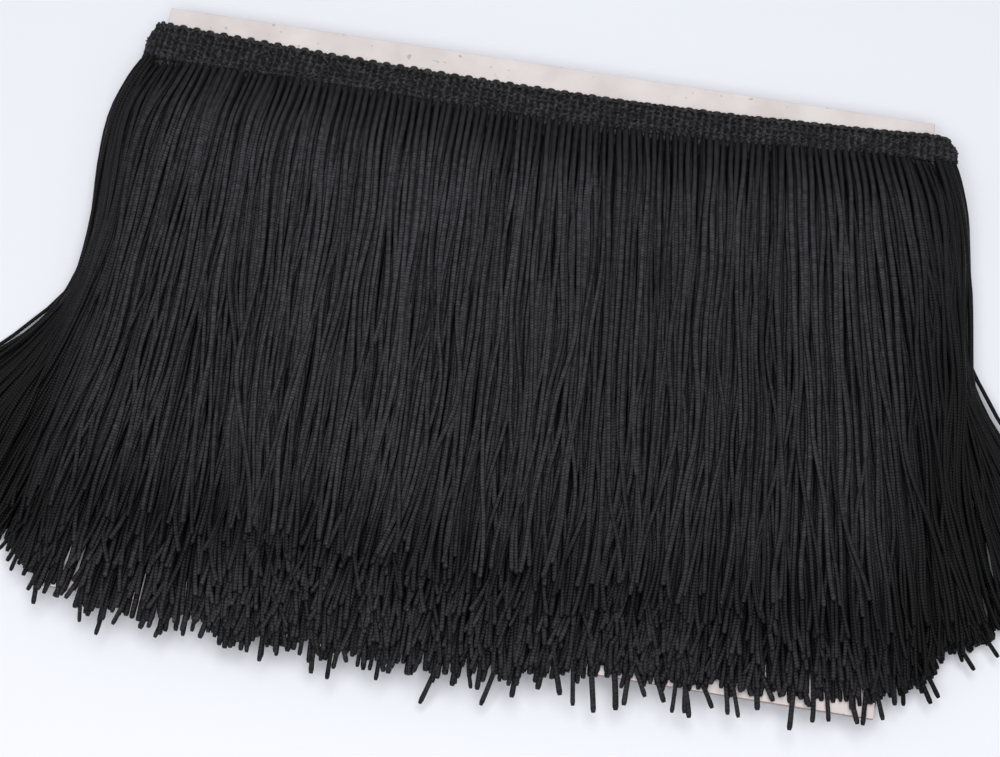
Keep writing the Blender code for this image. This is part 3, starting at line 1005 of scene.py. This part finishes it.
def build_picots(material):
    """The looped top edge: yarns that rise in a small knot over every second strand, and
    lie flatter on the right."""
    chance = np.random.default_rng(29)
    stations = shown_stations(STRAND_PITCH / STITCH_POINTS)
    stitches = stitches_of(stations)
    size = np.interp(stations[:, 0], PICOT_X, PICOT_SIZES)
    size = size * (1.0 + PICOT_UNEVEN * field(83, stitches / 2.0, 0.5))
    loop = smooth(0.3, 0.95, 0.5 + 0.5 * np.cos(math.pi * stitches))
    w_rows = [w + rise * size * loop for w, rise, _, _ in PICOT_YARNS]
    heights = [height + rise * loop for _, _, height, rise in PICOT_YARNS]
    return surface_yarns("heading_picots", w_rows, heights, PICOT_YARN, stations, chance, material)


def build_heading(material):
    band, length = build_band(material)
    added = [build_chains(material), build_picots(material)]


# ------------ materials


class Nodes:
    """Small helper for building a node tree."""

    def __init__(self, name):
        self.material = bpy.data.materials.new(name)
        self.material.use_nodes = True
        self.tree = self.material.node_tree
        self.shader = self.tree.nodes["Principled BSDF"]

    def put(self, value, socket):
        """value is a number, a tuple or another node's output."""
        if isinstance(value, bpy.types.NodeSocket):
            self.tree.links.new(value, socket)
        else:
            socket.default_value = value

    def give(self, name, value):
        """Fills one of the shader's own inputs."""
        self.put(value, self.shader.inputs[name])

    def add(self, kind, inputs, **settings):
        """A new node, with values for its inputs by number or name."""
        node = self.tree.nodes.new(kind)
        for key, value in settings.items():
            setattr(node, key, value)
        for key, value in inputs.items():
            self.put(value, node.inputs[key])
        return node

    def math(self, operation, a, b=0.0, c=0.0):
        return self.add("ShaderNodeMath", {0: a, 1: b, 2: c}, operation=operation).outputs[0]

    def times(self, a, b):
        return self.math("MULTIPLY", a, b)

    def mix(self, share, a, b):
        return self.add("ShaderNodeMix", {0: share, 6: a, 7: b}, data_type="RGBA").outputs[2]

    def ramp(self, value, low, high, out_low=0.0, out_high=1.0):
        inputs = {0: value, 1: low, 2: high, 3: out_low, 4: out_high}
        return self.add("ShaderNodeMapRange", inputs).outputs[0]

    def uv(self, name):
        node = self.add("ShaderNodeUVMap", {}, uv_map=name)
        split = self.add("ShaderNodeSeparateXYZ", {0: node.outputs[0]})
        return split.outputs[0], split.outputs[1]

    def vector(self, x, y, z):
        return self.add("ShaderNodeCombineXYZ", {0: x, 1: y, 2: z}).outputs[0]

    def spot(self):
        """The point's place on the object, in metres."""
        return self.add("ShaderNodeTexCoord", {}).outputs["Object"]

    def noise(self, vector, scale, detail, roughness=0.5):
        inputs = {"Vector": vector, "Scale": scale, "Detail": detail, "Roughness": roughness}
        return self.add("ShaderNodeTexNoise", inputs).outputs[0]

    def bump(self, height, distance, strength=1.0):
        inputs = {"Strength": strength, "Distance": distance, "Height": height}
        return self.add("ShaderNodeBump", inputs).outputs[0]


# colours: of yarns from painted shade in their dips to their lit crowns, of the board, of its cut
# edges (own darker colour and painted shade), of the table
YARN_SHADED_DIP = (0.005, 0.005, 0.0055, 1)
YARN_LIT_CROWN = (0.060, 0.0580, 0.0680, 1)
HEADING_SHADED_DIP = (0.003, 0.003, 0.0033, 1)
HEADING_LIT_CROWN = (0.062, 0.061, 0.066, 1)
BOARD_DARK = (0.65, 0.585, 0.57, 1)
BOARD_PALE = (0.73, 0.68, 0.67, 1)
BOARD_SPECK = (0.36, 0.27, 0.22, 1)
BOARD_CUT_AND_SHADE = (0.27, 0.19, 0.16, 1)
TABLE = (0.825, 0.835, 0.885, 1)

# the knitted rib across a strand, and depths of relief, in mm
RIB_PITCH = 0.92
RIB_DEPTH = 0.14
GRAIN_DEPTH = 0.3
BOARD_DEPTH = 0.1


def yarn_material():
    """Chainette: a knitted cord of satin yarn, with a fine rib across it. Its colour carries
    painted shade in the rib's grooves, at the strand's sides and near the heading, and the painted
    shade and light of the lot map.
    """
    n = Nodes("fringe_yarn")
    around, along = n.uv("strand")
    # lightness at each point from the lot map: random tone with painted shade and light
    tone_and_shade, lot = n.uv("lot")
    # a strand's sides darker than its top and underside: painted shade
    across = n.math("SINE", n.times(around, 2 * math.pi))
    crown = n.ramp(n.times(across, across), 0.0, 0.5, 0.3, 1.0)
    # darker for the first mm below the heading, where it hangs over: painted shade
    shade_under_heading = n.ramp(along, 3.0, 26.0, 0.36, 1.0)
    chevron = n.math("PINGPONG", n.times(around, 2.0), 0.5)
    phase = n.math("ADD", n.times(along, 1 / RIB_PITCH), chevron)
    phase = n.math("ADD", phase, lot)
    wave = n.math("SINE", n.times(phase, 2 * math.pi))
    wave = n.math("MULTIPLY_ADD", wave, 0.5, 0.5)
    where = n.vector(n.times(around, 5.0), along, n.times(lot, 60.0))
    fibre = n.noise(where, 1.1, 3.0, 0.7)
    worn = n.noise(n.vector(tone_and_shade, n.times(along, 0.07), lot), 9.0, 1.0)
    height = n.math("MULTIPLY_ADD", fibre, 0.6, wave)
    n.give("Normal", n.bump(height, RIB_DEPTH * MM))
    # the rib's grooves darker than its crests: painted shade
    share = n.times(n.ramp(wave, 0.0, 1.0, 0.56, 1.06), n.ramp(fibre, 0.3, 0.7, 0.42, 1.28))
    share = n.times(share, tone_and_shade)
    share = n.times(share, n.ramp(worn, 0.3, 0.7, 0.6, 1.25))
    share = n.times(n.times(share, crown), shade_under_heading)
    n.give("Base Color", n.mix(share, YARN_SHADED_DIP, YARN_LIT_CROWN))
    n.give("Roughness", n.ramp(fibre, 0.3, 0.7, 0.4, 0.6))
    n.give("Specular IOR Level", 0.13)
    return n.material


def heading_material():
    """The band: the same yarn, finer and drier, with painted shade between its ribs and bright
    specks painted in as glints.
    """
    n = Nodes("heading_yarn")
    stitches, _ = n.uv("band")
    rib = n.math("COSINE", n.times(stitches, 2 * math.pi))
    spot = n.spot()
    grain = n.noise(spot, 1300.0, 2.0, 0.6)
    specks = n.noise(spot, 520.0, 1.0)
    n.give("Normal", n.bump(grain, GRAIN_DEPTH * MM))
    # specks lighter and darker, the bright ones painted glints
    share = n.times(n.ramp(grain, 0.35, 0.68), n.ramp(specks, 0.3, 0.7, 0.2, 1.4))
    # darker between the ribs: painted shade
    share = n.times(share, n.ramp(rib, -0.6, 0.9, 0.1, 1.0))
    n.give("Base Color", n.mix(share, HEADING_SHADED_DIP, HEADING_LIT_CROWN))
    n.give("Roughness", n.ramp(grain, 0.3, 0.7, 0.45, 0.65))
    n.give("Specular IOR Level", 0.2)
    return n.material


def board_material():
    """Greyboard: clouded and specked, with darker cut edges, partly the board's own colour and
    partly painted shade on the faces that don't face up.
    """
    n = Nodes("card_board")
    spot = n.spot()
    clouds = n.noise(spot, 70.0, 4.0)
    fibres = n.noise(spot, 900.0, 3.0)
    specks = n.noise(spot, 420.0, 1.0)
    colour = n.mix(n.ramp(clouds, 0.35, 0.65), BOARD_DARK, BOARD_PALE)
    colour = n.mix(n.ramp(specks, 0.7, 0.76, 0.0, 0.6), colour, BOARD_SPECK)
    # faces that don't face up darker: the cut's own colour and painted shade
    normal = n.add("ShaderNodeNewGeometry", {}).outputs["Normal"]
    up = n.math("ABSOLUTE", n.add("ShaderNodeSeparateXYZ", {0: normal}).outputs[2])
    n.give("Base Color", n.mix(n.ramp(up, 0.35, 0.9, 0.8, 0.0), colour, BOARD_CUT_AND_SHADE))
    n.give("Normal", n.bump(fibres, BOARD_DEPTH * MM, 0.5))
    n.give("Roughness", 0.9)
    n.give("Specular IOR Level", 0.2)
    return n.material


def table_material():
    n = Nodes("studio_table")
    n.give("Base Color", TABLE)
    n.give("Roughness", 0.9)
    n.give("Specular IOR Level", 0.1)
    return n.material


# ------------ studio

# the camera: its direction and roll in degrees, its distance in mm from what it looks at,
# its lens in mm and what it can see in metres
AZIMUTH = 5.79
ELEVATION = 68.0
ROLL = 3.57
DISTANCE = 705.7
AIM = np.array((0.93, 83.8, 9.9))
FOCAL = 86.4
SENSOR = 36.0
SEEN = (0.01, 20.0)

# the table's side in metres, and the sky's colour and strength
TABLE_SIZE = 6.0
SKY = (0.96, 0.97, 1.0, 1.0)
SKY_STRENGTH = 0.33


def build_camera():
    azimuth, elevation, roll = (math.radians(a) for a in (AZIMUTH, ELEVATION, ROLL))
    level, rise = math.cos(elevation), math.sin(elevation)
    back = Vector((level * math.sin(azimuth), -level * math.cos(azimuth), rise))
    right = (-back).cross(Vector((0, 0, 1))).normalized()
    up = right.cross(-back)
    turned_right = math.cos(roll) * right + math.sin(roll) * up
    turned_up = -math.sin(roll) * right + math.cos(roll) * up
    lens = bpy.data.cameras.new("camera")
    lens.lens = FOCAL
    lens.sensor_width = SENSOR
    lens.clip_start, lens.clip_end = SEEN
    camera = bpy.data.objects.new("camera", lens)
    bpy.context.scene.collection.objects.link(camera)
    spot = Vector(place(AIM)) + back * DISTANCE * MM
    turn = Matrix((turned_right, turned_up, back)).transposed().to_4x4()
    camera.matrix_world = Matrix.Translation(spot) @ turn
    bpy.context.scene.camera = camera


def area_light(name, spot, target, size, watts, colour):
    """A light over the table; spot, target and size are in metres in the frame."""
    light = bpy.data.lights.new(name, "AREA")
    light.shape = "RECTANGLE"
    light.size, light.size_y = size
    light.energy = watts
    light.color = colour
    made = bpy.data.objects.new(name, light)
    made.location = spot
    made.rotation_mode = "QUATERNION"
    made.rotation_quaternion = (Vector(target) - Vector(spot)).to_track_quat("-Z", "Y")
    bpy.context.scene.collection.objects.link(made)


def build_studio():
    bpy.ops.mesh.primitive_plane_add(size=TABLE_SIZE)
    table = bpy.context.active_object
    table.name = "studio_table"
    table.data.materials.append(table_material())
    world = bpy.data.worlds.new("studio")
    bpy.context.scene.world = world
    world.use_nodes = True
    sky = world.node_tree.nodes["Background"]
    sky.inputs["Color"].default_value = SKY
    sky.inputs["Strength"].default_value = SKY_STRENGTH
    area_light(
        "key", spot=(0.05, 0.08, 1.3), target=(0.0, 0.0, 0.0), size=(0.7, 0.6),
        watts=7.3, colour=(1.0, 1.0, 1.0),
    )
    area_light(
        "fill", spot=(-0.05, -0.5, 0.95), target=(0.0, -0.2, 0.0), size=(0.9, 0.5),
        watts=5.9, colour=(0.99, 0.995, 1.0),
    )
    bpy.context.scene.view_settings.view_transform = "Standard"


def build():
    build_camera()
    build_studio()
    yarn = yarn_material()
    fringe = build_fringe(yarn)
    build_heading(heading_material())
    card = bpy.data.objects["card"]
    card.data.materials.clear()
    card.data.materials.append(board_material())


build()
